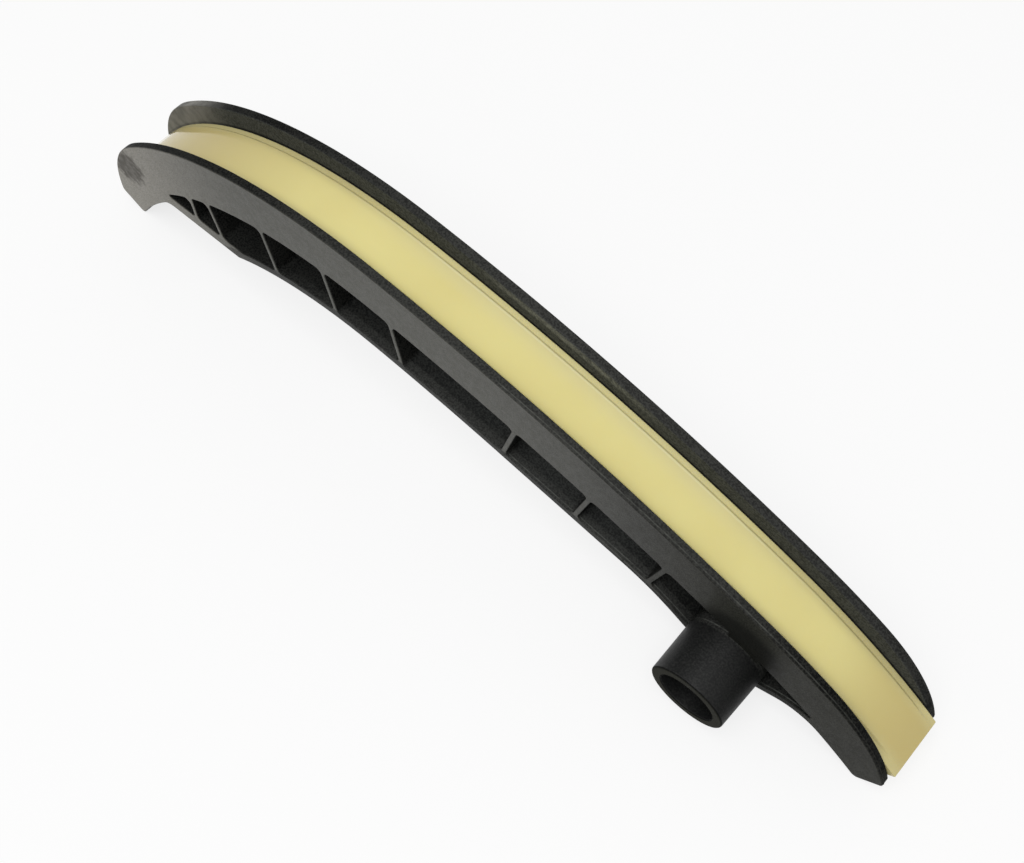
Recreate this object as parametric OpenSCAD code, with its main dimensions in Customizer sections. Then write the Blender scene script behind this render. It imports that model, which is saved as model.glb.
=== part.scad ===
// Timing chain guide: a ribbed nylon carrier with a slide lining on its curved back.
// X runs along the rail, Y across it and Z towards the chain. The pivot axis is the origin.
// Every outline follows one chain line made of three arcs that meet in tangents. A place on it is
// given by the angle of the line's normal from vertical, and by the height above the line.

/* [Chain line] */
// Radius of the chain line over the hooked end
left_r = 143.5; // [120:0.5:180]
// Radius of the chain line along the middle
mid_r = 480; // [350:1:700]
// Radius of the chain line over the pivot end
right_r = 155; // [130:0.5:190]
// Normal angle where the hooked end is cut off
left_end_angle = -53.7; // [-58:0.1:-48]
// Normal angle where the hooked end's arc meets the middle arc
left_joint_angle = 4.9; // [2:0.1:7]
// Normal angle where the middle arc meets the pivot end's arc
right_joint_angle = 20.3; // [18.5:0.1:21.5]
// Normal angle where the pivot end is cut off
right_end_angle = 40.6; // [40.2:0.1:44]
// Normal angle at the pivot
pivot_angle = 21.7; // [21.5:0.1:23]
// Depth of the pivot axis below the chain line
pivot_depth = 23.7; // [22:0.1:26]

/* [Flanges] */
// Width over both flanges
rail_w = 24; // [18:0.5:36]
// Thickness of one flange
flange_t = 2.7; // [1.5:0.1:4]
// Height of the flanges above the chain line
flange_h = 6.3; // [3:0.1:9]
// Radius that rounds the flanges down at the hooked end
left_end_r = 50; // [46:0.5:58]
// Radius that rounds the flanges down at the pivot end
right_end_r = 46; // [42:0.5:54]
// Normal angle where the rounding starts at the hooked end
left_run_angle = -39; // [-41:0.1:-38]
// Normal angle where the rounding starts at the pivot end
right_run_angle = 28.2; // [27.5:0.1:30]

/* [Body] */
// Depth of the plain ends below the chain line
end_depth = 14; // [12.8:0.1:15]
// Depth of the pockets' upper edge below the chain line
band_depth = 11.2; // [11:0.1:12.5]
// Depth of the lower chord's underside below the chain line
rail_depth = 31.9; // [28:0.1:36]
// Thickness of the lower chord
chord_t = 3.2; // [2:0.1:4]
// Thickness of the middle web
web_t = 3; // [2:0.1:6]
// Height of the tensioner pad's face above the pivot axis
pad_z = 8.1; // [6:0.1:10]
// Thickness of the wall behind the tensioner pad
pad_t = 5; // [3:0.1:6]
// Fillet between the hook and the tensioner pad
hook_fillet_r = 8; // [3:0.5:12]
// Normal angle where the lower chord leaves the arc and runs straight
chord_break_angle = 10.9; // [8:0.1:13]
// Slope of the lower chord where it meets the boss
chord_drop_angle = 32; // [25:0.5:38]
// Radius of the bend in the lower chord before the boss
chord_bend_r = 50; // [30:1:60]
// Slope of the wall that climbs from the boss to the pivot end
end_rise_angle = 27.7; // [22:0.1:32]
// Radius of the arch under the pivot end
arch_r = 13; // [10:0.5:15]

/* [Ribs] */
// Thickness of a rib
rib_t = 1.8; // [1:0.1:3]
// Distance of the rib over the tensioner pad from the pivot
pad_rib_x = 200.4; // [198:0.1:203]
// Lean of the rib over the tensioner pad from vertical
pad_rib_angle = 4; // [-10:0.5:10]
// Distance of the first hook side rib from the pivot
hook_rib_x = 189; // [186:0.1:192]
// Distance between hook side ribs
hook_rib_pitch = 25.2; // [22:0.1:28]
// Number of hook side ribs
hook_rib_count = 4; // [2:1:4]
// Lean of the hook side ribs from vertical
hook_rib_angle = -5; // [-15:0.5:5]
// Distance of the first pivot side rib from the pivot
pivot_rib_x = 24.3; // [22:0.1:27]
// Distance between pivot side ribs
pivot_rib_pitch = 24.8; // [22:0.1:28]
// Number of pivot side ribs
pivot_rib_count = 3; // [2:1:3]
// Lean of the pivot side ribs from vertical
pivot_rib_angle = 16; // [5:0.5:20]

/* [Pivot boss] */
// Diameter of the pivot bore
bore_d = 16.4; // [12:0.1:17.5]
// Diameter of the boss at its free end
boss_d = 22.4; // [20:0.1:26]
// Growth of the boss radius towards its root, for release from the mould
boss_draft = 0.3; // [0:0.05:0.6]
// Length of the boss outside the near flange
boss_l = 16.2; // [8:0.1:25]
// Width of the neck between the boss and the band above it
neck_w = 10.4; // [8:0.1:14]
// How far inside the boss surface the falling chord runs
chord_wrap = 0.7; // [0.4:0.1:1.5]
// How far outside the boss surface the climbing wall runs
rise_wrap = 0.4; // [0.2:0.1:0.8]

/* [Lining] */
// Thickness of the lining under its edge strips
liner_t = 2.5; // [1.5:0.1:3.5]
// Gap between the lining and each flange
liner_gap = 0.15; // [0.05:0.05:0.3]
// Height of the running land above the edge strips
land_h = 0.5; // [0.2:0.1:1]
// Width of each edge strip beside the running land
strip_w = 2; // [1:0.1:3]
// Normal angle where the lining ends, a little inside the pivot end's cut
lining_end_angle = 40; // [38.5:0.1:40.1]
// Normal angle where the running land ends near the hook
land_end_angle = -46; // [-48:0.5:-40]
// Length of the lip over the pivot end
lip_l = 9; // [6:0.1:10]

/* [Hidden] */
$fn = 96;
arc_step = 1.5;
spare = 4;

channel_w = rail_w - 2 * flange_t;
liner_w = channel_w - 2 * liner_gap;
land_w = liner_w - 2 * strip_w;
pocket_depth = (rail_w - web_t) / 2;
boss_r = boss_d / 2;
root_r = boss_r + boss_draft;
chord_foot = boss_r - chord_wrap;
rise_foot = boss_r + rise_wrap;
pocket_mid = (band_depth + rail_depth) / 2;

// Centres of the three arcs, worked out from the pivot
right_c = -(right_r - pivot_depth) * normal(pivot_angle);
mid_c = right_c - (mid_r - right_r) * normal(right_joint_angle);
left_c = mid_c + (mid_r - left_r) * normal(left_joint_angle);

// Bend of the lower chord: touches the straight chord and the wall that runs into the boss
chord_line = normal(chord_break_angle) * rail(chord_break_angle, -rail_depth);
bend_c = meet(chord_break_angle, chord_line - chord_bend_r, chord_drop_angle, -chord_foot - chord_bend_r);

// Fillet of the hook: touches the pad from below and the hook's underside from inside
hook_z = pad_z - hook_fillet_r;
hook_a = left_angle(hook_z, -end_depth - hook_fillet_r);
hook_c = rail(hook_a, -end_depth - hook_fillet_r);

// Arch: touches the climbing wall and the underside of the pivot end
arch_foot = -(rise_foot + arch_r) * normal(-end_rise_angle) - right_c;
arch_run = arch_foot * along(-end_rise_angle);
arch_reach = right_r - end_depth - arch_r;
arch_t = sqrt(pow(arch_run, 2) - arch_foot * arch_foot + pow(arch_reach, 2)) - arch_run;
arch_c = right_c + arch_foot + arch_t * along(-end_rise_angle);
arch_a = atan2(arch_c.x - right_c.x, arch_c.y - right_c.y);

function normal(a) = [sin(a), cos(a)];
function along(a) = [cos(a), -sin(a)];
function arc_radius(a) = a < left_joint_angle ? left_r : a < right_joint_angle ? mid_r : right_r;
function arc_centre(a) = a < left_joint_angle ? left_c : a < right_joint_angle ? mid_c : right_c;

// Point at height d above the chain line, where its normal leans by the angle a
function rail(a, d) = arc_centre(a) + (arc_radius(a) + d) * normal(a);

// Even steps from one angle to another, and the points that they give on a curve
function steps(from, to) = let (n = ceil(abs(to - from) / arc_step))
    [for (i = [0:n]) from + (to - from) * i / n];
function rail_line(from, to, d) = [for (a = steps(from, to)) rail(a, d)];
function arc(centre, r, from, to) = [for (a = steps(from, to)) centre + r * normal(a)];
function backwards(points) = [for (i = [len(points) - 1:-1:0]) points[i]];

// Point on two straight lines, each given by its normal's angle and its distance from the pivot
function meet(a, p, b, q) = [p * cos(b) - q * cos(a), q * sin(a) - p * sin(b)] / sin(a - b);

// Normal angle on the hooked end's arc where a line at height d reaches the level z
function left_angle(z, d) = -acos((z - left_c.y) / (left_r + d));

// Height of a line d from the chain line, at a distance along X
function level(x, d) =
    let (
        after_left = x < rail(right_joint_angle, d).x ? left_joint_angle : right_end_angle,
        a = x < rail(left_joint_angle, d).x ? left_end_angle : after_left,
        centre = arc_centre(a)
    )
    centre.y + sqrt(pow(arc_radius(a) + d, 2) - pow(x - centre.x, 2));

// Rounded end of the flange outline from its start to the cut, moved in by an inset
function flange_end(run, end, end_r, inset) =
    let (
        r = end_r - inset,
        reach = arc_radius(run) + flange_h - end_r,
        stop = end + asin(reach / r * sin(end - run))
    )
    arc(rail(run, flange_h - end_r), r, run, stop);
function left_flange_end(inset) = flange_end(left_run_angle, left_end_angle, left_end_r, inset);
function right_flange_end(inset) = flange_end(right_run_angle, right_end_angle, right_end_r, inset);

// Underside from the tensioner pad to the pivot end, moved up by t
function lower_line(t, pad_level) = concat(
    rail_line(left_angle(pad_level, t - rail_depth), chord_break_angle, t - rail_depth),
    arc(bend_c, chord_bend_r + t, chord_break_angle, chord_drop_angle),
    [(t - chord_foot) * normal(chord_drop_angle), (t - rise_foot) * normal(-end_rise_angle)],
    arc(arch_c, arch_r + t, -end_rise_angle, arch_a),
    rail_line(arch_a, right_end_angle, t - end_depth)
);

// Side view of the whole carrier
module side_outline() {
    polygon(concat(
        rail_line(left_end_angle, hook_a, -end_depth),
        arc(hook_c, hook_fillet_r, hook_a, 0),
        lower_line(0, pad_z),
        backwards(right_flange_end(0)),
        rail_line(right_run_angle, left_run_angle, flange_h),
        left_flange_end(0)
    ));
}

// Side view of the space between the band and the lower chord, ribs left out
module pocket_space() {
    floor_z = pad_z - rail_depth - pivot_depth;
    intersection() {
        polygon(concat(
            [[rail(left_end_angle, 0).x, pad_z + pad_t]],
            lower_line(chord_t, pad_z + pad_t),
            rail_line(right_end_angle, left_end_angle, 0)
        ));
        polygon(concat(
            rail_line(left_end_angle, right_end_angle, -band_depth),
            [[rail(right_end_angle, 0).x, floor_z], [rail(left_end_angle, 0).x, floor_z]]
        ));
    }
}

// One rib that crosses the pockets at a distance before the pivot
module rib(x, lean) {
    translate([-x, level(-x, -pocket_mid)])
        rotate(-lean)
            square([rib_t, rail_depth], center = true);
}

module ribs() {
    rib(pad_rib_x, pad_rib_angle);
    for (i = [0:hook_rib_count - 1]) rib(hook_rib_x - i * hook_rib_pitch, hook_rib_angle);
    for (i = [0:pivot_rib_count - 1]) rib(pivot_rib_x + i * pivot_rib_pitch, pivot_rib_angle);
}

module pockets() {
    difference() {
        pocket_space();
        ribs();
        circle(root_r);
        rotate(-pivot_angle) translate([-neck_w / 2, 0]) square([neck_w, pivot_depth]);
    }
}

// Side view of what lies within the lining, whose faces are moved in by t at the top and both ends
module lined_core(t) {
    past_end = right_end_angle + spare;
    difference() {
        intersection() {
            polygon(concat(
                rail_line(left_end_angle, past_end, -t),
                rail_line(past_end, left_end_angle, -end_depth)
            ));
            polygon(concat(
                left_flange_end(t),
                rail_line(left_end_angle, past_end, -end_depth - spare),
                rail_line(past_end, left_run_angle, flange_h - t)
            ));
        }
        translate(rail(lining_end_angle, 0))
            rotate(-lining_end_angle)
                translate([-t, -2 * end_depth])
                    square(3 * end_depth);
    }
}

// Side view of everything above the foot of the lining's lip
module above_lip() {
    polygon(concat(
        rail_line(left_end_angle - spare, right_end_angle + spare, flange_h + spare),
        rail_line(right_end_angle + spare, left_end_angle - spare, -lip_l)
    ));
}

// Side view of the room between the flanges that the lining and the chain take
module channel() {
    difference() {
        above_lip();
        lined_core(liner_t);
    }
}

// Stands a side view up in the XZ plane, from y to y + w
module slab(y, w) {
    translate([0, y + w, 0])
        rotate([90, 0, 0])
            linear_extrude(w)
                children();
}

// Cylinder along Y from y to y + h
module post(y, h, r_near, r_far) {
    translate([0, y, 0])
        rotate([-90, 0, 0])
            cylinder(h = h, r1 = r_near, r2 = r_far);
}

module carrier() {
    face = rail_w / 2;
    color("#2b2c2d")
        difference() {
            union() {
                slab(-face, rail_w) side_outline();
                post(-face, rail_w, root_r, root_r);
                post(-face - boss_l, boss_l, boss_r, root_r);
            }
            slab(-channel_w / 2, channel_w) channel();
            slab(-face - spare, pocket_depth + spare) pockets();
            slab(web_t / 2, pocket_depth + spare) pockets();
            post(-face - boss_l - spare, boss_l + rail_w + 2 * spare, bore_d / 2, bore_d / 2);
        }
}

module liner() {
    color("#e6d9a0")
        union() {
            slab(-liner_w / 2, liner_w)
                intersection() {
                    lined_core(0);
                    channel();
                }
            slab(-land_w / 2, land_w)
                polygon(concat(
                    rail_line(land_end_angle, lining_end_angle, -liner_t / 2),
                    rail_line(lining_end_angle, land_end_angle, land_h)
                ));
        }
}

carrier();
liner();
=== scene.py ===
"""Timing chain guide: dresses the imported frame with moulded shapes, finishes, floor, light and camera.

All shapes are worked out in millimetres in the part's own frame and written to the meshes in metres.
The side view lies in the XZ plane. Y runs across the rail, with the boss on the negative side.
"""

import logging
import math
from dataclasses import dataclass, field
from enum import Enum
from functools import reduce
from typing import Sequence

import bmesh
import bpy
import numpy as np
from mathutils import Matrix, Vector


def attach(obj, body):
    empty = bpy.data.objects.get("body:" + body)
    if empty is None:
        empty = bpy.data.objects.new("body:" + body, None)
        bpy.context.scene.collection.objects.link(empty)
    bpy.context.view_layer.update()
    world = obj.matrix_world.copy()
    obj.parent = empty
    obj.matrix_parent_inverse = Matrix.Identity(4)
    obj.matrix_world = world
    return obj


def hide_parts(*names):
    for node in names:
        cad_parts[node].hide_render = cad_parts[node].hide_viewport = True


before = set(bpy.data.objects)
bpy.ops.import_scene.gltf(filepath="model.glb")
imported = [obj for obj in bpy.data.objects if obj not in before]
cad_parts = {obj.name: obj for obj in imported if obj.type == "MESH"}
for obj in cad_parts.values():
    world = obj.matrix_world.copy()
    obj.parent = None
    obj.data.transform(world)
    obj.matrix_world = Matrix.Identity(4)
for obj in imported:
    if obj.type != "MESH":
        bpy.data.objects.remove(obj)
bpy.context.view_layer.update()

MM = 0.001
LOG = logging.getLogger("chain_guide")

# Most degrees between two points of a bend, and the metres within which points merge and slivers close up
BEND_STEP = 12.0
MERGE = 2e-7
SLIVER = 1e-7
# Range that holds most of a noise pattern
NOISE = (0.3, 0.7)

Body = bpy.types.Object
Socket = bpy.types.NodeSocket
Colour = tuple[float, float, float, float]
Range = tuple[float, float]
# Share of a colour, and the colour that is laid over the ones below
Layer = tuple[Socket, object]


class Side(Enum):
    """The two sides of the rail, with the sign of their Y."""

    NEAR = -1
    FAR = 1


class Cut(Enum):
    """What a tool shape does to the solid it meets."""

    ADD = "UNION"
    REMOVE = "DIFFERENCE"


def normal(angle: np.ndarray | float) -> np.ndarray:
    """Gives the unit vector that leans by an angle from vertical towards +X.

    Args:
        angle: one angle or an array of angles, in degrees.

    Returns:
        Array with a last axis of X and Z.
    """
    turn = np.radians(angle)
    return np.stack([np.sin(turn), np.cos(turn)], axis=-1)


def along(angle: np.ndarray | float) -> np.ndarray:
    """Gives the unit vector at right angles to normal(angle), towards +X.

    Args:
        angle: one angle or an array of angles, in degrees.

    Returns:
        Array with a last axis of X and Z.
    """
    turn = np.radians(angle)
    return np.stack([np.cos(turn), -np.sin(turn)], axis=-1)


def fillet_steps(count: int, most: float = 90.0) -> np.ndarray:
    """Gives even angles in radians from 0 to most degrees, for the arc of an edge fillet."""
    return np.radians(np.linspace(0.0, most, count))


def ease(share: np.ndarray) -> np.ndarray:
    """Bends shares from 0 to 1 into an S-curve: 3 times the square less 2 times the cube."""
    return share * share * (3.0 - 2.0 * share)


@dataclass(frozen=True)
class Curve:
    """Line in the side view, with the unit normal on its left at every point."""

    points: np.ndarray
    normals: np.ndarray

    @staticmethod
    def arc(centre: np.ndarray, radius: float, start: float, stop: float, spacing: float = 1.6) -> "Curve":
        """Makes an arc: centre plus radius times normal(angle).

        Args:
            centre: X and Z of the centre.
            radius: radius in mm.
            start: first normal angle in degrees.
            stop: last normal angle in degrees.
            spacing: largest distance between points in mm.

        Returns:
            The arc, run from start to stop.
        """
        length = abs(math.radians(stop - start)) * radius
        count = max(int(length / spacing), int(abs(stop - start) / BEND_STEP), 1) + 1
        lean = normal(np.linspace(start, stop, count))
        return Curve(centre + radius * lean, lean * math.copysign(1.0, stop - start))

    @staticmethod
    def line(start: np.ndarray, stop: np.ndarray) -> "Curve":
        """Makes a straight line.

        Args:
            start: X and Z of its first point.
            stop: X and Z of its last point.

        Returns:
            The line, whose normal is a quarter turn to the left of its way.
        """
        way = (stop - start) / np.linalg.norm(stop - start)
        left = np.array([-way[1], way[0]])
        return Curve(np.array([start, stop]), np.array([left, left]))

    @staticmethod
    def chain(parts: Sequence["Curve"]) -> "Curve":
        """Joins curves that follow one another, and drops the points they share.

        Args:
            parts: the curves in order.

        Returns:
            The whole line.
        """
        points = [parts[0].points] + [part.points[1:] for part in parts[1:]]
        normals = [parts[0].normals] + [part.normals[1:] for part in parts[1:]]
        return Curve(np.concatenate(points), np.concatenate(normals))

    def moved(self, distance: np.ndarray | float) -> "Curve":
        """Moves every point along its normal, by one distance or by one for each point."""
        return Curve(self.points + np.asarray(distance)[..., None] * self.normals, self.normals)

    def back(self) -> "Curve":
        """Runs the same line the other way, so that its left becomes the other side."""
        return Curve(self.points[::-1], -self.normals[::-1])

    def at(self, place: float) -> tuple[np.ndarray, np.ndarray]:
        """Gives point and normal at a fractional index, in proportion between two points.

        Args:
            place: the index.

        Returns:
            The point and its unit normal.
        """
        low = min(int(place), len(self.points) - 2)
        share = place - low
        lean = self.normals[low] * (1.0 - share) + self.normals[low + 1] * share
        point = self.points[low] * (1.0 - share) + self.points[low + 1] * share
        return point, lean / np.linalg.norm(lean)

    def between(self, first: float, last: float) -> "Curve":
        """Gives the stretch between two places.

        Args:
            first: fractional index of its start.
            last: fractional index of its end.

        Returns:
            The stretch with both ends.
        """
        inner = slice(int(math.floor(first)) + 1, int(math.ceil(last)))
        head, tail = self.at(first), self.at(last)
        points = np.concatenate([head[0][None], self.points[inner], tail[0][None]])
        normals = np.concatenate([head[1][None], self.normals[inner], tail[1][None]])
        return Curve(points, normals)

    def run(self) -> np.ndarray:
        """Gives the distance along the line at every point, in mm."""
        steps = np.linalg.norm(np.diff(self.points, axis=0), axis=1)
        return np.concatenate([[0.0], np.cumsum(steps)])


def crossing(first: np.ndarray, second: np.ndarray) -> tuple[float, float]:
    """Finds where two lines of points cross, from the cross products of all pairs of segments.

    Args:
        first: points of the first line.
        second: points of the second line.

    Returns:
        Fractional indices of the crossing on both lines.
    """
    run_a, run_b = np.diff(first, axis=0)[:, None], np.diff(second, axis=0)[None]
    gap = second[None, :-1] - first[:-1, None]
    area = run_a[..., 0] * run_b[..., 1] - run_a[..., 1] * run_b[..., 0]
    # Parallel segments get a tiny area, which puts their crossing far away
    area = np.where(np.abs(area) < 1e-12, 1e-12, area)
    share_a = (gap[..., 0] * run_b[..., 1] - gap[..., 1] * run_b[..., 0]) / area
    share_b = (gap[..., 0] * run_a[..., 1] - gap[..., 1] * run_a[..., 0]) / area
    hits = np.argwhere((share_a >= 0) & (share_a <= 1) & (share_b >= 0) & (share_b <= 1))
    if not len(hits):
        raise ValueError(f"lines from {first[0]} to {first[-1]} and {second[0]} to {second[-1]} don't cross")
    row, col = hits[-1]
    return row + float(share_a[row, col]), col + float(share_b[row, col])


def rounded(sides: Sequence[Curve], radii: Sequence[float], closed: bool) -> Curve:
    """Runs from side to side with a fillet in every corner.

    A fillet's centre is where both sides cross after a move by the radius to the inside of the turn.

    Args:
        sides: lines in order, each long enough to cross the next one.
        radii: one fillet radius for each corner.
        closed: whether the last side runs into the first one.

    Returns:
        The whole line; a closed one doesn't repeat its first point.
    """
    count = len(sides)
    starts = [0.0] * count
    stops = [float(len(side.points) - 1) for side in sides]
    bends: list[Curve] = []
    for corner, radius in enumerate(radii):
        here, there = sides[corner], sides[(corner + 1) % count]
        place_a, place_b = crossing(here.points, there.points)
        lean_a, lean_b = here.at(place_a)[1], there.at(place_b)[1]
        turn = float(np.sign(lean_a[0] * lean_b[1] - lean_a[1] * lean_b[0]))
        shift = turn * radius
        place_a, place_b = crossing(here.moved(shift).points, there.moved(shift).points)
        point, lean_a = here.at(place_a)
        lean_b = there.at(place_b)[1]
        begin = math.degrees(math.atan2(lean_a[0], lean_a[1]))
        sweep = (math.degrees(math.atan2(lean_b[0], lean_b[1])) - begin + 180.0) % 360.0 - 180.0
        lean = normal(begin + sweep * np.linspace(0.0, 1.0, max(3, int(abs(sweep) / BEND_STEP) + 2)))
        bends.append(Curve(point + shift * lean_a - shift * lean, lean))
        stops[corner], starts[(corner + 1) % count] = place_a, place_b
    pieces: list[Curve] = []
    for index, side in enumerate(sides):
        pieces.append(side.between(starts[index], stops[index]))
        pieces += bends[index:index + 1]
    whole = Curve.chain(pieces)
    return Curve(whole.points[:-1], whole.normals[:-1]) if closed else whole


def stand(points: np.ndarray, y: np.ndarray | float) -> np.ndarray:
    """Stands side view points up in space.

    Args:
        points: X and Z in the last axis.
        y: one Y or one for each point.

    Returns:
        The same points with X, Y and Z.
    """
    across = np.broadcast_to(np.asarray(y, float), points.shape[:-1])
    return np.stack([points[..., 0], across, points[..., 1]], axis=-1)


class Shell:
    """Patches of one closed surface, in mm, gathered and written to a mesh in metres."""

    def __init__(self) -> None:
        """Starts with no patches."""
        self.vertices: list[np.ndarray] = []
        self.faces: list[list[int]] = []
        self.count = 0

    def patch(self, grid: np.ndarray, ring: bool = False) -> None:
        """Adds a grid of points as quads.

        Args:
            grid: rows by columns by XYZ.
            ring: whether each row closes on itself.
        """
        rows, cols = grid.shape[:2]
        index = np.arange(rows * cols).reshape(rows, cols) + self.count
        right = np.roll(index, -1, axis=1) if ring else index[:, 1:]
        left = index if ring else index[:, :-1]
        quads = np.stack([left[:-1], right[:-1], right[1:], left[1:]], axis=-1)
        self.faces += quads.reshape(-1, 4).tolist()
        self._take(grid.reshape(-1, 3))

    def cap(self, ring: np.ndarray) -> None:
        """Adds one flat face inside a ring of points."""
        self.faces.append(list(range(self.count, self.count + len(ring))))
        self._take(ring)

    def stack(self, loop: Curve, shifts: Sequence[np.ndarray | float], levels: np.ndarray) -> None:
        """Adds a closed solid: copies of a loop, moved along its normals, set at levels of Y and capped.

        Args:
            loop: closed line in the side view.
            shifts: distance outwards for each level, the same all round or one for each point.
            levels: Y of each level.
        """
        grid = np.stack([stand(loop.moved(s).points, y) for s, y in zip(shifts, levels)])
        self.patch(grid, ring=True)
        self.cap(grid[0])
        self.cap(grid[-1])

    def revolve(self, radii: np.ndarray, levels: np.ndarray, count: int) -> None:
        """Adds a closed solid of revolution about Y: a ring of each radius at each level, capped.

        Args:
            radii: radius of each ring.
            levels: Y of each ring.
            count: points in a ring.
        """
        lean = normal(np.arange(count) * 360.0 / count)
        grid = stand(radii[:, None, None] * lean[None], levels[:, None])
        self.patch(grid, ring=True)
        self.cap(grid[0])
        self.cap(grid[-1])

    def to_object(self, name: str) -> Body:
        """Writes the patches to a new object, with shared points merged and faces turned outwards.

        Args:
            name: name of the object and its mesh.

        Returns:
            The object, in the scene.
        """
        mesh = bpy.data.meshes.new(name)
        mesh.from_pydata(np.concatenate(self.vertices) * MM, [], self.faces)
        work = bmesh.new()
        work.from_mesh(mesh)
        bmesh.ops.remove_doubles(work, verts=work.verts, dist=MERGE)
        bmesh.ops.dissolve_degenerate(work, edges=work.edges, dist=SLIVER)
        bmesh.ops.recalc_face_normals(work, faces=work.faces)
        wide = [face for face in work.faces if len(face.verts) > 4]
        bmesh.ops.triangulate(work, faces=wide, quad_method="BEAUTY", ngon_method="BEAUTY")
        work.to_mesh(mesh)
        work.free()
        made = bpy.data.objects.new(name, mesh)
        bpy.context.scene.collection.objects.link(made)
        return made

    def _take(self, points: np.ndarray) -> None:
        """Keeps the points of a patch and moves the count on."""
        self.vertices.append(points)
        self.count += len(points)


def combine(target: Body, tool: Body, cut: Cut) -> None:
    """Adds a tool shape to a solid or takes it away, and deletes the tool.

    Args:
        target: the solid that is changed.
        tool: the other solid.
        cut: what the tool does.
    """
    change = target.modifiers.new(cut.name.lower(), "BOOLEAN")
    change.operation = cut.value
    change.solver = "MANIFOLD"
    change.object = tool
    bake_modifiers(target)
    bpy.data.objects.remove(tool)


def bake_modifiers(target: Body) -> None:
    """Writes the result of an object's modifiers into its mesh and clears them.

    Args:
        target: the object that is changed.
    """
    graph = bpy.context.evaluated_depsgraph_get()
    made = bpy.data.meshes.new_from_object(target.evaluated_get(graph))
    target.modifiers.clear()
    target.data = made


def smooth(target: Body, sharp_angle: float) -> None:
    """Shades a solid smooth, keeps steep edges sharp and lets flat faces lead the normals.

    Args:
        target: the solid that is changed.
        sharp_angle: degrees from which on an edge is sharp.
    """
    mesh = target.data
    mesh.polygons.foreach_set("use_smooth", np.ones(len(mesh.polygons), dtype=bool))
    mesh.set_sharp_from_angle(angle=math.radians(sharp_angle))
    lead = target.modifiers.new("flat faces lead", "WEIGHTED_NORMAL")
    lead.keep_sharp = True
    lead.weight = 100
    bake_modifiers(target)


@dataclass(frozen=True)
class ChainLine:
    """The line that the chain follows: three arcs that meet in tangents, placed from the pivot."""

    left_r: float = 143.5
    mid_r: float = 480.0
    right_r: float = 155.0
    left_end: float = -53.7
    left_joint: float = 4.9
    right_joint: float = 20.3
    right_end: float = 40.6
    lining_end: float = 40.0
    pivot_angle: float = 21.7
    pivot_depth: float = 23.7

    @property
    def right_c(self) -> np.ndarray:
        """Centre of the arc over the pivot end."""
        return -(self.right_r - self.pivot_depth) * normal(self.pivot_angle)

    @property
    def mid_c(self) -> np.ndarray:
        """Centre of the middle arc."""
        return self.right_c - (self.mid_r - self.right_r) * normal(self.right_joint)

    @property
    def left_c(self) -> np.ndarray:
        """Centre of the arc over the hooked end."""
        return self.mid_c + (self.mid_r - self.left_r) * normal(self.left_joint)

    def arc_at(self, angle: float) -> tuple[np.ndarray, float]:
        """Finds the arc that holds a normal angle.

        Args:
            angle: the normal's lean in degrees.

        Returns:
            The arc's centre and radius.
        """
        if angle < self.left_joint:
            return self.left_c, self.left_r
        if angle < self.right_joint:
            return self.mid_c, self.mid_r
        return self.right_c, self.right_r

    def point(self, angle: float, height: float) -> np.ndarray:
        """Gives the point at a height above the line, where its normal leans by an angle."""
        centre, radius = self.arc_at(angle)
        return centre + (radius + height) * normal(angle)

    def rail(self, start: float, stop: float, height: float) -> Curve:
        """Gives the line at one height above the chain line: the three arcs with the height on their radii.

        Args:
            start: first normal angle in degrees.
            stop: last normal angle in degrees.
            height: height above the chain line.

        Returns:
            The line from left to right.
        """
        marks = [start] + [a for a in (self.left_joint, self.right_joint) if start < a < stop] + [stop]
        parts = []
        for low, high in zip(marks[:-1], marks[1:]):
            centre, radius = self.arc_at((low + high) / 2.0)
            parts.append(Curve.arc(centre, radius + height, low, high))
        return Curve.chain(parts)

    def level(self, x: float, height: float) -> float:
        """Gives the Z of the line at a height above the chain line, at a distance along X."""
        line = self.rail(self.left_end, self.right_end, height).points
        return float(np.interp(x, line[:, 0], line[:, 1]))


@dataclass(frozen=True)
class Flanges:
    """Sizes of the two side flanges and of the seat between them."""

    rail_w: float = 24.0
    thickness: float = 2.7
    height: float = 6.3
    left_end_r: float = 50.0
    right_end_r: float = 46.0
    left_run: float = -39.0
    right_run: float = 28.2
    tip_r: float = 1.6
    outer_edge_r: float = 0.38
    inner_edge_r: float = 0.3
    fade: float = 5.0
    bead_from: float = -77.0
    bead_run: float = 4.0
    bead_w: float = 0.18
    bead_h: float = 0.12

    @property
    def face(self) -> float:
        """Distance from the rail's middle to an outer face."""
        return self.rail_w / 2.0

    @property
    def wall(self) -> float:
        """Distance from the rail's middle to a flange's inner wall."""
        return self.face - self.thickness


@dataclass(frozen=True)
class Lining:
    """Sizes of the slide lining."""

    thickness: float = 2.5
    gap: float = 0.15
    clearance: float = 0.03
    land_h: float = 0.5
    strip_w: float = 2.0
    shoulder: float = 0.42
    land_end: float = -46.0
    land_ramp: float = 5.0
    lip_land: float = 0.3
    lip_ramp: float = 4.0
    lip_l: float = 9.0
    edge_r: float = 0.28
    nose_r: float = 12.0
    nose_inner_r: float = 6.0
    hook_tip_r: float = 0.6
    hook_inner_r: float = 0.3
    lip_edge_r: float = 0.7
    lip_tip_r: float = 0.4
    lip_inner_r: float = 0.3
    lip_root_r: float = 0.5


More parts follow.
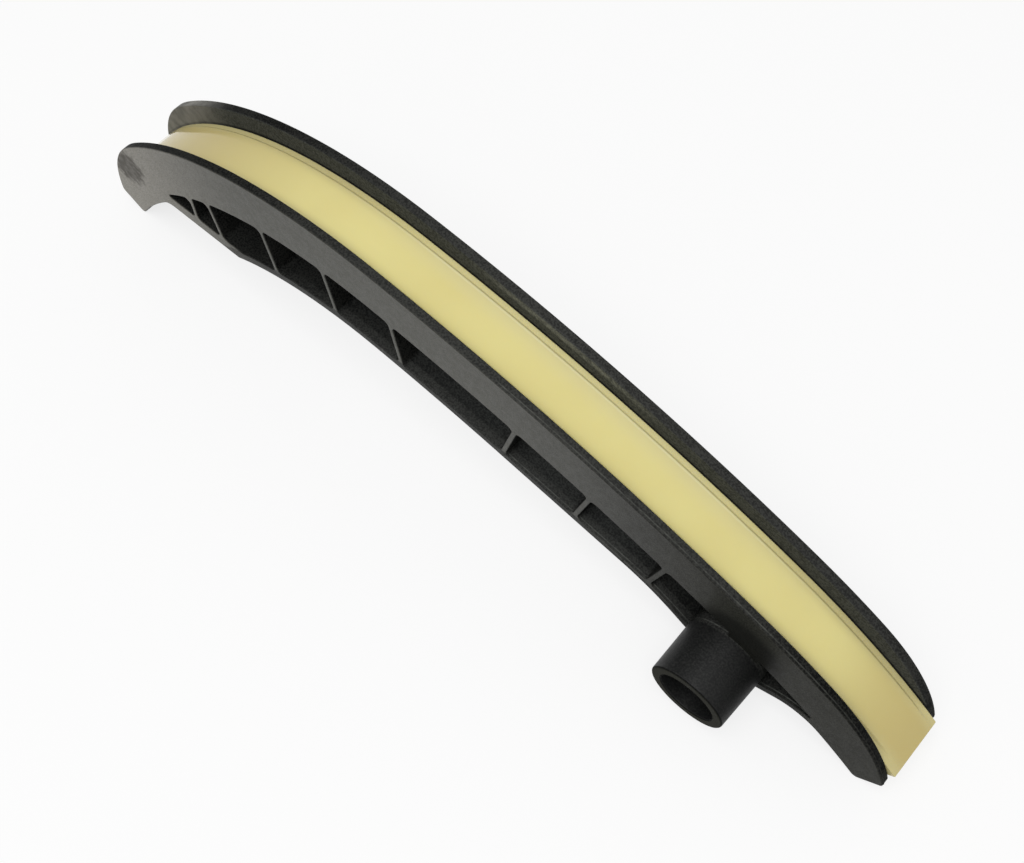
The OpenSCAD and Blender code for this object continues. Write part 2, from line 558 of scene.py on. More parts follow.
@dataclass(frozen=True)
class Rib:
    """One rib: distance along X, lean from vertical, thickness, and half its length before it is trimmed."""

    x: float
    lean: float
    thickness: float = 1.8
    half_l: float = 24.0

    def edge(self, line: ChainLine, depth: float, hand: int) -> Curve:
        """Gives one side of the rib as a line that runs down for hand -1 and up for hand 1.

        Args:
            line: the chain line.
            depth: depth of the pockets' middle below the chain line.
            hand: -1 for the left side, 1 for the right side.

        Returns:
            A straight line longer than the pocket is high.
        """
        middle = np.array([self.x, line.level(self.x, -depth)])
        foot = middle + hand * self.thickness / 2.0 * along(self.lean)
        reach = self.half_l * normal(self.lean) * hand
        return Curve.line(foot - reach, foot + reach)


@dataclass
class Carrier:
    """The black moulding: flanged rail with ribbed pockets, hook, tensioner pad and pivot boss.

    Outlines are made of lines that run on a few mm past their crossings, where rounded() trims them.
    """

    line: ChainLine = field(default_factory=ChainLine)
    flanges: Flanges = field(default_factory=Flanges)
    lining: Lining = field(default_factory=Lining)
    end_depth: float = 14.0
    band_depth: float = 11.2
    rail_depth: float = 31.9
    chord_t: float = 3.2
    web_t: float = 3.0
    pad_z: float = 8.1
    pad_t: float = 5.0
    pad_end: float = -160.0
    shelf_run: Range = (-150.0, -240.0)
    hook_fillet_r: float = 8.0
    chord_break: float = 10.9
    chord_drop: float = 32.0
    chord_bend_r: float = 50.0
    end_rise: float = 27.7
    arch_r: float = 13.0
    bore_r: float = 8.2
    bore_edge_r: float = 0.5
    boss_r: float = 11.2
    boss_draft: float = 0.3
    boss_l: float = 16.2
    boss_back: float = 0.05
    boss_back_r: float = 0.3
    boss_rim_r: float = 0.6
    neck_w: float = 10.4
    chord_wrap: float = 0.7
    rise_wrap: float = 0.4
    pad_rib: Rib = Rib(-200.4, 4.0)
    hook_ribs: tuple[Rib, ...] = tuple(Rib(-189.0 + 25.2 * i, -5.0) for i in range(4))
    pivot_ribs: tuple[Rib, ...] = tuple(Rib(-73.9 + 24.8 * i, 16.0) for i in range(3))
    under_r: tuple[float, ...] = (1.6, 2.0, 2.0, 2.5, 1.6)
    corner_r: float = 1.5
    tip_corner_r: float = 0.6
    shelf_r: float = 4.0
    neck_r: float = 1.0
    neck_foot_r: float = 0.5
    arch_tip_r: float = 0.4
    floor_r: float = 0.9
    lip_r: float = 0.4
    lip_flare: float = 78.0
    draft: float = 0.14
    skin: float = 0.002
    overrun: float = 2.0
    sharp_angle: float = 32.0

    @property
    def chord_foot(self) -> float:
        """Distance from the pivot to the falling chord's underside."""
        return self.boss_r - self.chord_wrap

    @property
    def rise_foot(self) -> float:
        """Distance from the pivot to the climbing wall's underside."""
        return self.boss_r + self.rise_wrap

    def flange_end(self, hand: int, inset: float, extra: float = 0.0) -> Curve:
        """Gives the arc that rounds the flanges down to an end cut, from left to right.

        Args:
            hand: -1 for the hooked end, 1 for the pivot end.
            inset: how far the arc is moved in.
            extra: degrees that the arc runs on past the cut.

        Returns:
            The arc between the cut and the place where it touches the flange line.
        """
        size = self.flanges
        run = size.left_run if hand < 0 else size.right_run
        end = self.line.left_end if hand < 0 else self.line.right_end
        end_r = size.left_end_r if hand < 0 else size.right_end_r
        reach = self.line.arc_at(run)[1] + size.height - end_r
        radius = end_r - inset
        lean = math.degrees(math.asin(reach / radius * math.sin(math.radians(end - run))))
        stop = end + lean + hand * extra
        centre = self.line.point(run, size.height - end_r)
        return Curve.arc(centre, radius, min(stop, run), max(stop, run))

    def flange_top(self) -> Curve:
        """Gives the flanges' upper line, a little past both cuts."""
        middle = self.line.rail(self.flanges.left_run, self.flanges.right_run, self.flanges.height)
        return Curve.chain([self.flange_end(-1, 0.0, 3.0), middle, self.flange_end(1, 0.0, 3.0)])

    def seat(self) -> Curve:
        """Gives the line under the lining: nose arc, rail, a drop inside the lip and the lip's foot.

        Returns:
            The line from the left cut to the right cut.
        """
        line, size = self.line, self.lining
        inner = line.point(line.lining_end, 0.0) - size.thickness * along(line.lining_end)
        down = Curve.line(inner + 6.0 * normal(line.lining_end), inner - 16.0 * normal(line.lining_end))
        nose = self.flange_end(-1, size.thickness)
        rail = line.rail(line.left_end - 4.0, line.right_end + 4.0, -size.thickness)
        foot = line.rail(line.right_end - 6.0, line.right_end, -size.lip_l)
        radii = [size.nose_inner_r, size.lip_root_r, size.lip_inner_r]
        return rounded([nose, rail, down, foot], radii, closed=False)

    def upper_edge(self) -> Curve:
        """Gives the side outline over the flanges: both end cuts and the flanges' upper line.

        Returns:
            The line from the seat's left end to its right end.
        """
        line, seat = self.line, self.seat().points
        left = Curve.line(seat[0], seat[0] + 9.0 * normal(line.left_end))
        right = Curve.line(seat[-1] + 20.0 * normal(line.right_end), seat[-1])
        tip = self.flanges.tip_r
        return rounded([left, self.flange_top(), right], [tip, tip], closed=False)

    def hook(self) -> Curve:
        """Gives the underside of the hooked end: the rail's arc, a fillet tangent to it and the flat pad.

        Returns:
            The line from the left cut to the tensioner pad.
        """
        line, depth = self.line, -self.end_depth - self.hook_fillet_r
        centre_z = self.pad_z - self.hook_fillet_r
        angle = -math.degrees(math.acos((centre_z - line.left_c[1]) / (line.left_r + depth)))
        centre = line.point(angle, depth)
        under = line.rail(line.left_end - 2.0, angle, -self.end_depth)
        bend = Curve.arc(centre, self.hook_fillet_r, angle, 0.0)
        pad = Curve.line(bend.points[-1], np.array([self.pad_end, self.pad_z]))
        return Curve.chain([under, bend, pad])

    def chord(self, rise: float, level: float) -> Curve:
        """Gives the lower chord's underside from the pad to the boss, from left to right.

        The bend's centre is where the lines at the bend's radius from both of its straights cross.

        Args:
            rise: how far the line is moved up.
            level: Z of the pad's face that the line starts from.

        Returns:
            An arc, a bend and a straight fall into the boss.
        """
        line, depth = self.line, rise - self.rail_depth
        start = -math.degrees(math.acos((level - line.left_c[1]) / (line.left_r + depth)))
        arc = line.rail(start - 3.0, self.chord_break, depth)
        lean_a, lean_b = normal(self.chord_break), normal(self.chord_drop)
        offset_a = lean_a @ line.point(self.chord_break, -self.rail_depth) - self.chord_bend_r
        offset_b = -self.chord_foot - self.chord_bend_r
        centre = np.linalg.solve(np.array([lean_a, lean_b]), np.array([offset_a, offset_b]))
        bend = Curve.arc(centre, self.chord_bend_r + rise, self.chord_break, self.chord_drop)
        last = (rise - self.chord_foot) * lean_b + self.overrun * along(self.chord_drop)
        straight = Curve.line(line.point(self.chord_break, depth), bend.points[0])
        return Curve.chain([arc, straight, bend, Curve.line(bend.points[-1], last)])

    def rise(self, up: float) -> Curve:
        """Gives the wall that climbs from the boss and the arch under the pivot end.

        The arch's centre is on a line at its radius from the wall, and as far from the rail's underside.

        Args:
            up: how far the line is moved up.

        Returns:
            A straight climb, an arch and the rail's underside, from left to right.
        """
        line, slope = self.line, -self.end_rise
        foot = -(self.rise_foot + self.arch_r) * normal(slope) - line.right_c
        run = float(foot @ along(slope))
        reach = line.right_r - self.end_depth - self.arch_r
        centre = line.right_c + foot + (math.sqrt(run**2 - foot @ foot + reach**2) - run) * along(slope)
        lean = centre - line.right_c
        top = math.degrees(math.atan2(lean[0], lean[1]))
        arch = Curve.arc(centre, self.arch_r + up, slope, top)
        first = (up - self.rise_foot) * normal(slope) - self.overrun * along(slope)
        under = line.rail(top, line.right_end + 2.0, up - self.end_depth)
        return Curve.chain([Curve.line(first, arch.points[0]), arch, under])

    def lower_edge(self) -> Curve:
        """Gives the side outline under the seat's ends: pivot end, link under the boss, chord and hook.

        Returns:
            The line from right to left.
        """
        line, seat = self.line, self.seat().points
        down = Curve.line(seat[-1], seat[-1] - 9.0 * normal(line.right_end))
        up = Curve.line(seat[0] - 14.0 * normal(line.left_end), seat[0])
        rise_end = -self.rise_foot * normal(-self.end_rise)
        chord_end = -self.chord_foot * normal(self.chord_drop)
        way = (chord_end - rise_end) / np.linalg.norm(chord_end - rise_end)
        link = Curve.line(rise_end - self.overrun * way, chord_end + self.overrun * way)
        chord = self.chord(0.0, self.pad_z)
        sides = [down, self.rise(0.0).back(), link, chord.back(), self.hook().back(), up]
        return rounded(sides, self.under_r, closed=False)

    def pockets(self) -> list[Curve]:
        """Gives the outlines of all pockets in one side: band, ribs and chord, with a fillet in each corner.

        Returns:
            Closed lines from the hook to the pivot end.
        """
        line, middle = self.line, (self.band_depth + self.rail_depth) / 2.0
        band = line.rail(line.left_end, line.right_end, -self.band_depth)
        shelf_z = self.pad_z + self.pad_t
        shelf = Curve.line(*(np.array([x, shelf_z]) for x in self.shelf_run))
        chord = self.chord(self.chord_t, shelf_z).back()
        rise = self.rise(self.chord_t).back()
        ribs = [self.pad_rib, *self.hook_ribs, *self.pivot_ribs]
        left = [rib.edge(line, middle, -1) for rib in ribs]
        right = [rib.edge(line, middle, 1) for rib in ribs]
        neck = [hand * self.neck_w / 2.0 * along(line.pivot_angle) for hand in (-1, 1)]
        up = normal(line.pivot_angle)
        neck_left = Curve.line(neck[0] + 20.0 * up, neck[0] - 12.0 * up)
        neck_right = Curve.line(neck[1] - 12.0 * up, neck[1] + 20.0 * up)
        r, neck_r, foot_r = self.corner_r, self.neck_r, self.neck_foot_r
        loops = [
            rounded([band, left[0], shelf], [r, r, self.tip_corner_r], closed=True),
            rounded([band, left[1], shelf, right[0]], [r] * 4, closed=True),
            rounded([band, left[2], chord, shelf, right[1]], [r, r, self.shelf_r, r, r], closed=True),
        ]
        for index in range(2, len(ribs) - 1):
            loops.append(rounded([band, left[index + 1], chord, right[index]], [r] * 4, closed=True))
        loops.append(rounded([band, neck_left, chord, right[-1]], [neck_r, foot_r, r, r], closed=True))
        loops.append(rounded([band, rise, neck_right], [self.arch_tip_r, foot_r, neck_r], closed=True))
        return loops

    def body(self) -> Body:
        """Builds the rail with its flanges and seat, still without pockets and boss.

        Both faces are flat. The outline runs round them with an edge fillet. On the upper side it goes over
        the flanges' tops, with a small bead near the outer edge, and down to the seat. On the lower side it
        goes straight across from face to face.

        Returns:
            The closed solid.
        """
        size, shell = self.flanges, Shell()
        face, wall, r = size.face, size.wall, size.outer_edge_r
        upper, lower, seat = self.upper_edge(), self.lower_edge(), self.seat()
        both = [upper, Curve(lower.points[1:-1], lower.normals[1:-1])]
        loop = Curve(*(np.concatenate([getattr(c, n) for c in both]) for n in ("points", "normals")))
        run = upper.run()
        ends = np.clip(np.minimum(run, run[-1] - run) / size.fade, 0.0, 1.0)
        inner_r = size.inner_edge_r * ease(ends)
        bead = size.bead_h * ends * np.clip((upper.points[:, 0] - size.bead_from) / size.bead_run, 0.0, 1.0)
        turn = fillet_steps(5)
        for side in Side:
            rows = []
            for angle in turn:
                shift, level = -r * (1.0 - math.sin(angle)), face - r * (1.0 - math.cos(angle))
                rows.append(stand(loop.moved(shift).points, side.value * level))
            shell.patch(np.stack(rows), ring=True)
            shell.cap(rows[0])
            rows = [stand(upper.points, side.value * (face - r))]
            for step, share in enumerate((0.0, 1.0, 0.0), 1):
                level = face - r - step * size.bead_w * ends
                rows.append(stand(upper.moved(share * bead).points, side.value * level))
            for angle in turn:
                shift, level = -inner_r * (1.0 - math.cos(angle)), wall + inner_r * (1.0 - math.sin(angle))
                rows.append(stand(upper.moved(shift).points, side.value * level))
            shell.patch(np.stack(rows))
            shell.cap(np.concatenate([rows[-1], stand(seat.points[1:-1][::-1], side.value * wall)]))
        shell.patch(np.stack([stand(seat.points, y) for y in (-wall, wall)]))
        shell.patch(np.stack([stand(lower.points, y) for y in (r - face, -wall, wall, face - r)]))
        return shell.to_object("carrier_body")

    def pocket_plugs(self) -> Body:
        """Builds the tool shapes that cut the pockets.

        Each is a pocket's outline carried along Y, with a quarter round, a drafted wall and a flared lip.

        Returns:
            All plugs of both sides as one object.
        """
        face, floor = self.flanges.face, self.web_t / 2.0
        rise, flare = fillet_steps(5), fillet_steps(4, self.lip_flare)
        shifts = np.concatenate([
            -self.floor_r * (1.0 - np.sin(rise)),
            self.draft + self.lip_r * (1.0 - np.cos(flare)),
            [self.draft + self.lip_r],
        ])
        lift = self.lip_r * np.sin(flare[-1])
        levels = np.concatenate([
            floor + self.floor_r * (1.0 - np.cos(rise)),
            face - lift + self.lip_r * np.sin(flare) + self.skin,
            [face + self.overrun],
        ])
        shell = Shell()
        for loop in self.pockets():
            for side in Side:
                shell.stack(loop, shifts, side.value * levels)
        return shell.to_object("pocket_plugs")

    def boss(self) -> Body:
        """Builds the pivot boss: a profile turned about Y, with a drafted wall and rounded rims.

        Returns:
            The solid post.
        """
        face, root = self.flanges.face, self.boss_r + self.boss_draft
        back_r, rim_r, turn = self.boss_back_r, self.boss_rim_r, fillet_steps(4)
        back, front = face + self.boss_back, -face - self.boss_l
        radii = np.concatenate([
            root - back_r + back_r * np.sin(turn),
            [root],
            self.boss_r - rim_r + rim_r * np.cos(turn),
        ])
        levels = np.concatenate([
            back - back_r + back_r * np.cos(turn),
            [-face],
            front + rim_r - rim_r * np.sin(turn),
        ])
        shell = Shell()
        shell.revolve(radii, levels, 160)
        return shell.to_object("boss_post")

    def bore(self) -> Body:
        """Builds the tool shape that cuts the bore: a turned profile that flares at both mouths.

        Returns:
            The closed tool.
        """
        near, far = -self.flanges.face - self.boss_l, self.flanges.face + self.boss_back
        edge_r, flare = self.bore_edge_r, fillet_steps(5, self.lip_flare)
        wide = self.bore_r + edge_r - edge_r * np.cos(flare)
        deep = edge_r * np.sin(flare[-1]) - edge_r * np.sin(flare)
        radii = np.concatenate([[wide[-1]], wide[::-1], wide, [wide[-1]]])
        levels = np.concatenate([
            [near - self.overrun],
            near + deep[::-1] - self.skin,
            far - deep + self.skin,
            [far + self.overrun],
        ])
        shell = Shell()
        shell.revolve(radii, levels, 144)
        return shell.to_object("bore_tool")

    def build(self) -> Body:
        """Builds the finished carrier: the body less its pockets, with the boss, less the bore.

        Returns:
            The piece, shaded smooth.
        """
        made = self.body()
        combine(made, self.pocket_plugs(), Cut.REMOVE)
        combine(made, self.boss(), Cut.ADD)
        combine(made, self.bore(), Cut.REMOVE)
        made.name = "carrier_moulding"
        smooth(made, self.sharp_angle)
        return made

    def dress(self) -> None:
        """Builds the carrier, gives it its finish and seats it on the frame."""
        seat_piece(self.build(), "carrier", BlackNylon(self.line, self.flanges).make())


@dataclass
class Liner:
    """The cream slide lining: a strip with a raised running land, turned down at both ends."""

    carrier: Carrier
    sharp_angle: float = 40.0

    def outline(self) -> Curve:
        """Gives the side view of the lining without the land: the chain line, both ends and the seat's side.

        Returns:
            The closed line, clear of the seat.
        """
        line, size, whole = self.carrier.line, self.carrier.lining, self.carrier
        t = size.thickness - size.clearance
        left, right = line.left_end, line.lining_end
        foot_left, end = line.point(left, -30.0), line.point(right, 0.0)
        inner = end - t * along(right)
        sides = [
            Curve.line(foot_left, foot_left + 45.0 * normal(left)),
            whole.flange_end(-1, 0.0, 3.0),
            line.rail(left - 4.0, right + 4.0, 0.0),
            Curve.line(end + 6.0 * normal(right), end - 16.0 * normal(right)),
            line.rail(right - 6.0, right + 2.0, size.clearance - size.lip_l).back(),
            Curve.line(inner - 16.0 * normal(right), inner + 6.0 * normal(right)),
            line.rail(left - 4.0, right + 4.0, -t).back(),
            whole.flange_end(-1, t, 3.0).back(),
        ]
        radii = [
            size.hook_tip_r, size.nose_r, size.lip_edge_r, size.lip_tip_r,
            size.lip_inner_r, size.lip_root_r, size.nose_inner_r, size.hook_inner_r,
        ]
        return rounded(sides, radii, closed=True)

    def land(self, loop: Curve) -> np.ndarray:
        """Gives the share of the land's height: 1 on the running stretch, with an S-shaped ramp at each end.

        Args:
            loop: the lining's outline, whose normals tell how far along it a point is.

        Returns:
            One share for each point.
        """
        lean = np.degrees(np.arctan2(loop.normals[:, 0], loop.normals[:, 1]))
        size, line = self.carrier.lining, self.carrier.line
        start = np.clip((lean - size.land_end) / size.land_ramp, 0.0, 1.0)
        stop = np.clip((line.lining_end + size.lip_land - lean) / size.lip_ramp, 0.0, 1.0)
        return ease(np.minimum(start, stop))

    def build(self) -> Body:
        """Builds the lining: its outline carried across the rail, raised on the land, with rounded edges.

        Returns:
            The piece, shaded smooth.
        """
        size = self.carrier.lining
        half = self.carrier.flanges.wall - size.gap
        step = half - size.strip_w
        loop = self.outline()
        land = self.land(loop) * size.land_h
        turn = fillet_steps(4)
        rim_y = half - size.edge_r * (1.0 - np.cos(turn))
        rim_in = -size.edge_r * (1.0 - np.sin(turn))
        shoulder = step + np.linspace(0.5, -0.5, 9)
        inner = np.concatenate([[half - 1.0], shoulder, np.linspace(step - 2.0, 0.0, 4)])
        share = ease(np.clip((step + size.shoulder - inner) / (2.0 * size.shoulder), 0.0, 1.0))
        half_shifts = [shift + 0.0 * land for shift in rim_in] + [s * land for s in share]
        half_levels = np.concatenate([rim_y, inner])
        shifts = half_shifts + half_shifts[-2::-1]
        levels = np.concatenate([-half_levels, half_levels[-2::-1]])
        shell = Shell()
        shell.stack(loop, shifts, levels)
        made = shell.to_object("slide_lining")
        smooth(made, self.sharp_angle)
        return made

    def dress(self) -> None:
        """Builds the lining, gives it its finish and seats it on the frame."""
        seat_piece(self.build(), "liner", CreamNylon().make())


@dataclass(frozen=True)
class Oval:
    """An oval place on a surface: its middle and half sizes in mm, and its turn about Y in degrees."""

    centre: tuple[float, float, float]
    radii: tuple[float, float, float]
    tilt: float = 0.0


class NodeKit:
    """Short calls that add nodes to one material. Places and distances are given in mm."""

    def __init__(self, name: str) -> None:
        """Makes a material with a Principled shader and Object coordinates.

        Args:
            name: the material's name.
        """
        self.material = bpy.data.materials.new(name)
        self.material.use_nodes = True
        self.tree = self.material.node_tree
        self.shader = self.tree.nodes["Principled BSDF"]
        self.place = self.tree.nodes.new("ShaderNodeTexCoord").outputs["Object"]

    def feed(self, socket: Socket, value: object) -> None:
        """Links an output to a socket, or sets the socket to a plain value.

        Args:
            socket: the input that is fed.
            value: an output's socket, a number, a vector or a colour.
        """
        if isinstance(value, Socket):
            self.tree.links.new(value, socket)
        else:
            socket.default_value = value

    def put(self, name: str, value: object) -> None:
        """Feeds one of the shader's inputs by its name."""
        self.feed(self.shader.inputs[name], value)

    def noise(self, scale: float, detail: float = 3.0, factors: Sequence[float] = (1.0, 1.0, 1.0)) -> Socket:
        """Adds a noise pattern over the object's place.

        Args:
            scale: patches in a metre.
            detail: octaves of finer noise.
            factors: what the scale is multiplied with along each axis.

        Returns:
            The pattern.
        """
        turn = self.tree.nodes.new("ShaderNodeMapping")
        self.feed(turn.inputs["Vector"], self.place)
        turn.inputs["Scale"].default_value = factors
        pattern = self.tree.nodes.new("ShaderNodeTexNoise")
        self.feed(pattern.inputs["Vector"], turn.outputs["Vector"])
        pattern.inputs["Scale"].default_value = scale
        pattern.inputs["Detail"].default_value = detail
        return pattern.outputs["Fac"]

    def span(self, value: Socket, limits: Range, result: Range = (0.0, 1.0)) -> Socket:
        """Maps a range onto another one with an S-curve that is flat past both limits.

        Args:
            value: what is mapped.
            limits: the value's range, which may run down.
            result: what the limits give.

        Returns:
            The mapped value.
        """
        node = self.tree.nodes.new("ShaderNodeMapRange")
        node.interpolation_type = "SMOOTHSTEP"
        for socket, number in zip(list(node.inputs)[:5], (value, *limits, *result)):
            self.feed(socket, number)
        return node.outputs["Result"]

    def stretch(self, place: Socket, limits: Range, result: Range = (0.0, 1.0)) -> Socket:
        """Maps a place or a distance like span, with the limits in mm."""
        return self.span(place, (limits[0] * MM, limits[1] * MM), result)

    def math(self, kind: str, first: object, second: object) -> Socket:
        """Adds a calculation with two values.

        Args:
            kind: Blender's name of the calculation.
            first: an output's socket or a number.
            second: the same.

        Returns:
            The result.
        """
        node = self.tree.nodes.new("ShaderNodeMath")
        node.operation = kind
        self.feed(node.inputs[0], first)
        self.feed(node.inputs[1], second)
        return node.outputs["Value"]

    def times(self, *values: object) -> Socket:
        """Multiplies two or more values."""
        return reduce(lambda first, second: self.math("MULTIPLY", first, second), values)

    def most(self, *values: object) -> Socket:
        """Takes the largest of two or more values."""
        return reduce(lambda first, second: self.math("MAXIMUM", first, second), values)

    def off(self, place: Socket, middle: float) -> Socket:
        """Gives the distance of a place from a middle."""
        return self.math("ABSOLUTE", self.math("SUBTRACT", place, middle * MM), 0.0)

    def blend(self, share: object, first: object, second: object) -> Socket:
        """Mixes two colours.

        Args:
            share: how much of the second colour is taken.
            first: an output's socket or a colour.
            second: the same.

        Returns:
            The mixed colour.
        """
        node = self.tree.nodes.new("ShaderNodeMix")
        node.data_type = "RGBA"
        self.feed(node.inputs[0], share)
        self.feed(node.inputs[6], first)
        self.feed(node.inputs[7], second)
        return node.outputs[2]

    def spot(self, oval: Oval) -> Socket:
        """Adds a soft mask: 1 in an oval's middle and 0 from its rim on.

        Args:
            oval: the place.

        Returns:
            The mask.
        """
        turn = self.tree.nodes.new("ShaderNodeMapping")
        turn.vector_type = "TEXTURE"
        self.feed(turn.inputs["Vector"], self.place)
        turn.inputs["Location"].default_value = [c * MM for c in oval.centre]
        turn.inputs["Rotation"].default_value = (0.0, math.radians(oval.tilt), 0.0)
        turn.inputs["Scale"].default_value = [r * MM for r in oval.radii]
        size = self.tree.nodes.new("ShaderNodeVectorMath")
        size.operation = "LENGTH"
        self.feed(size.inputs[0], turn.outputs["Vector"])
        return self.span(size.outputs["Value"], (1.0, 0.15))

    def reach(self, centre: np.ndarray) -> Socket:
        """Adds the distance of every place from a point of the side view.

        Args:
            centre: X and Z of the point.

        Returns:
            The distance.
        """
        flat = self.tree.nodes.new("ShaderNodeMapping")
        self.feed(flat.inputs["Vector"], self.place)
        flat.inputs["Scale"].default_value = (1.0, 0.0, 1.0)
        gap = self.tree.nodes.new("ShaderNodeVectorMath")
        gap.operation = "DISTANCE"
        self.feed(gap.inputs[0], flat.outputs["Vector"])
        gap.inputs[1].default_value = (centre[0] * MM, 0.0, centre[1] * MM)
        return gap.outputs["Value"]

    def ring(self, centre: np.ndarray, radius: float, half: float) -> Socket:
        """Adds a mask that follows an arc of the side view: 1 on the arc and 0 beyond a half width.

        Args:
            centre: X and Z of the arc's centre.
            radius: the arc's radius.
            half: half width of the mask.

        Returns:
            The mask.
        """
        return self.stretch(self.off(self.reach(centre), radius), (half, 0.3 * half))

    def follow(self, line: ChainLine, height: float, half: float) -> Socket:
        """Adds a mask that follows the chain line: a ring on each arc, cut off where the arcs meet.

        Args:
            line: the chain line.
            height: height above the line.
            half: half width of the mask.

        Returns:
            The mask.
        """
        x = self.axis(self.place, "X")
        left, right = (line.point(angle, 0.0)[0] for angle in (line.left_joint, line.right_joint))
        middle = self.times(self.stretch(x, (left - 1.0, left)), self.stretch(x, (right + 1.0, right)))
        arcs = (
            (line.left_c, line.left_r, self.stretch(x, (left, left - 1.0))),
            (line.mid_c, line.mid_r, middle),
            (line.right_c, line.right_r, self.stretch(x, (right, right + 1.0))),
        )
        return self.most(*(self.times(self.ring(c, r + height, half), part) for c, r, part in arcs))

    def under(self, centre: np.ndarray, radius: float, soft: float = 0.4) -> Socket:
        """Adds a mask of the places inside an arc of the side view, with a soft rim."""
        return self.stretch(self.reach(centre), (radius + soft, radius - soft))

    def axis(self, vector: Socket, letter: str) -> Socket:
        """Takes one part of a vector.

        Args:
            vector: the vector's socket.
            letter: X, Y or Z.

        Returns:
            The part.
        """
        node = self.tree.nodes.new("ShaderNodeSeparateXYZ")
        self.feed(node.inputs["Vector"], vector)
        return node.outputs[letter]

    def facing(self, letter: str) -> Socket:
        """Adds a mask of the faces that look along an axis: the square of that part of the normal."""
        part = self.axis(self.tree.nodes.new("ShaderNodeTexCoord").outputs["Normal"], letter)
        return self.times(part, part)

    def edges(self, reach: float) -> Socket:
        """Adds a mask that falls from 1 towards 0 on outer edges.

        Args:
            reach: depth within which the solid counts as thin.

        Returns:
            The mask.
        """
        node = self.tree.nodes.new("ShaderNodeAmbientOcclusion")
        node.inside, node.only_local, node.samples = True, True, 6
        node.inputs["Distance"].default_value = reach * MM
        return node.outputs["AO"]

    def bump(self, height: Socket, strength: float, depth: float) -> None:
        """Adds a relief to the shader's normal.

        Args:
            height: the relief's pattern.
            strength: how much of it shows, from 0 to 1.
            depth: how deep it is.
        """
        node = self.tree.nodes.new("ShaderNodeBump")
        node.inputs["Strength"].default_value = strength
        node.inputs["Distance"].default_value = depth * MM
        self.feed(node.inputs["Height"], height)
        self.put("Normal", node.outputs["Normal"])


@dataclass(frozen=True)
class Marks:
    """Values over the carrier that its finish is mixed from: places, patterns and masks of its surfaces."""

    x: Socket
    y: Socket
    across: Socket
    grain: Socket
    speck: Socket
    mottle: Socket
    patchy: Socket
    hooked: Socket
    outer: Socket
    side: Socket
    boss: Socket
    wall: Socket
    top: Socket
    floor: Socket
    chord: Socket
    scuffed: Socket

    @staticmethod
    def find(kit: NodeKit, line: ChainLine, size: Flanges, scuff: Oval) -> "Marks":
        """Adds the nodes of all values.

        Args:
            kit: the material that takes the nodes.
            line: the chain line, which the masks follow.
            size: sizes of the flanges, which tell the surfaces apart.
            scuff: place of the scuff, whose rim the mottle makes ragged.

        Returns:
            The values' sockets.
        """
        pocket_depth, chord_depth, arcs_meet = 16.0, 28.0, (-119.0, -121.0)
        face, wall = size.face, size.wall
        x, y = kit.axis(kit.place, "X"), kit.axis(kit.place, "Y")
        away, across, up = kit.off(y, 0.0), kit.facing("Y"), kit.facing("Z")
        grain, mottle = kit.noise(2000.0), kit.noise(520.0)
        outer = kit.times(across, kit.stretch(away, (wall + 0.3, face - 0.6)))
        pocketed = kit.times(kit.under(line.mid_c, line.mid_r - pocket_depth), up)
        low_left = kit.under(line.left_c, line.left_r - chord_depth)
        low_right = kit.under(line.mid_c, line.mid_r - chord_depth)
        ragged = kit.math("ADD", kit.spot(scuff), kit.span(mottle, NOISE, (-0.16, 0.16)))
        return Marks(
            x=x, y=y, across=across, grain=grain, mottle=mottle, outer=outer,
            speck=kit.span(grain, (0.32, 0.68), (0.45, 1.0)),
            patchy=kit.span(mottle, (0.32, 0.68), (0.35, 1.0)),
            hooked=kit.stretch(x, (12.0, -100.0)),
            side=kit.times(outer, kit.stretch(y, (-face - 8.0, -face - 3.0))),
            boss=kit.stretch(y, (-face - 0.1, -face - 0.6)),
            wall=kit.times(across, kit.stretch(kit.off(away, wall), (0.6, 0.1))),
            top=kit.times(up, kit.stretch(away, (wall - 0.3, wall + 0.3))),
            # Pocket floors, with a share that grows deeper in, where painted light lifts the shade
            floor=kit.times(pocketed, kit.stretch(away, (face - 0.5, 3.0), (0.36, 1.0))),
            chord=kit.most(
                kit.times(low_left, kit.stretch(x, arcs_meet)),
                kit.times(low_right, kit.stretch(x, arcs_meet[::-1])),
            ),
            scuffed=kit.times(kit.span(ragged, (0.05, 0.85)), kit.span(mottle, NOISE, (0.8, 1.0))),
        )


